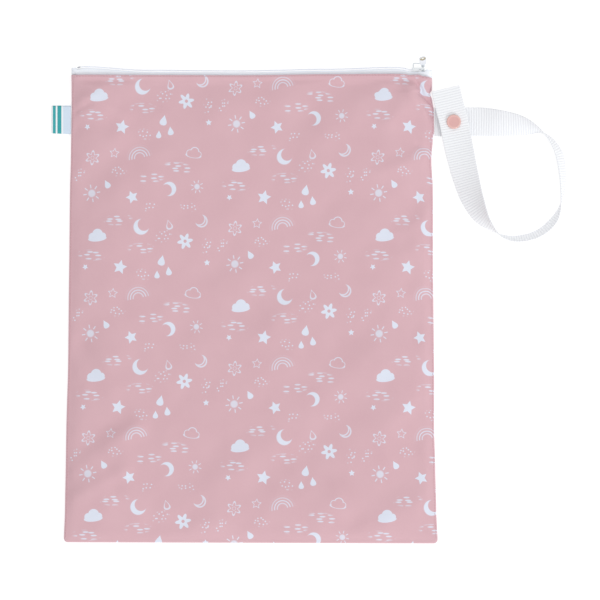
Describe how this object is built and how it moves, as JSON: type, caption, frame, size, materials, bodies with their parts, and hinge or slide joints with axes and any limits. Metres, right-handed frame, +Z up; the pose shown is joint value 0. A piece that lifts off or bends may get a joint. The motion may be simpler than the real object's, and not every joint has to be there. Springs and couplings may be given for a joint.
{
  "type": "cloth wet bag",
  "caption": "Flat rectangular cloth pouch with a coil zip along its top edge, a folded side label, and a webbing strap from the side seam folded back into a loop held by a snap.",
  "frame": {"origin": "under the middle of the whole bag, strap and label included, on the surface that it lies on", "axes": "+X towards the strap, +Y towards the zip, +Z up, away from the surface that the bag lies on"},
  "size_m": [0.4326, 0.4088, 0.0246],
  "materials": {
    "cloth": "matte printed knit",
    "zip_tape": "matte woven tape",
    "zip_coil": "satin monofilament",
    "lacquer": "gloss white lacquer",
    "webbing": "ribbed woven webbing",
    "snap": "satin moulded plastic",
    "label": "woven satin"
  },
  "bodies": {
    "bag": {"front_panel": "cloth", "back_panel": "cloth", "zip_tape_front": "zip_tape", "zip_tape_back": "zip_tape", "zip_coil": "zip_coil", "zip_stop": "lacquer", "slider": "lacquer", "strap": "webbing", "snap_cap": "snap", "snap_back_cap": "snap", "snap_core": "snap", "side_label": "label"},
    "pull": {"pull_tab": "lacquer"}
  },
  "joints": [
    {"name": "pull_swing", "type": "hinge", "parent": "bag", "child": "pull", "pos_m": [0.09589, 0.19658, 0.0039], "axis": [0, 1, 0], "range_deg": [-40, 85]}
  ]
}
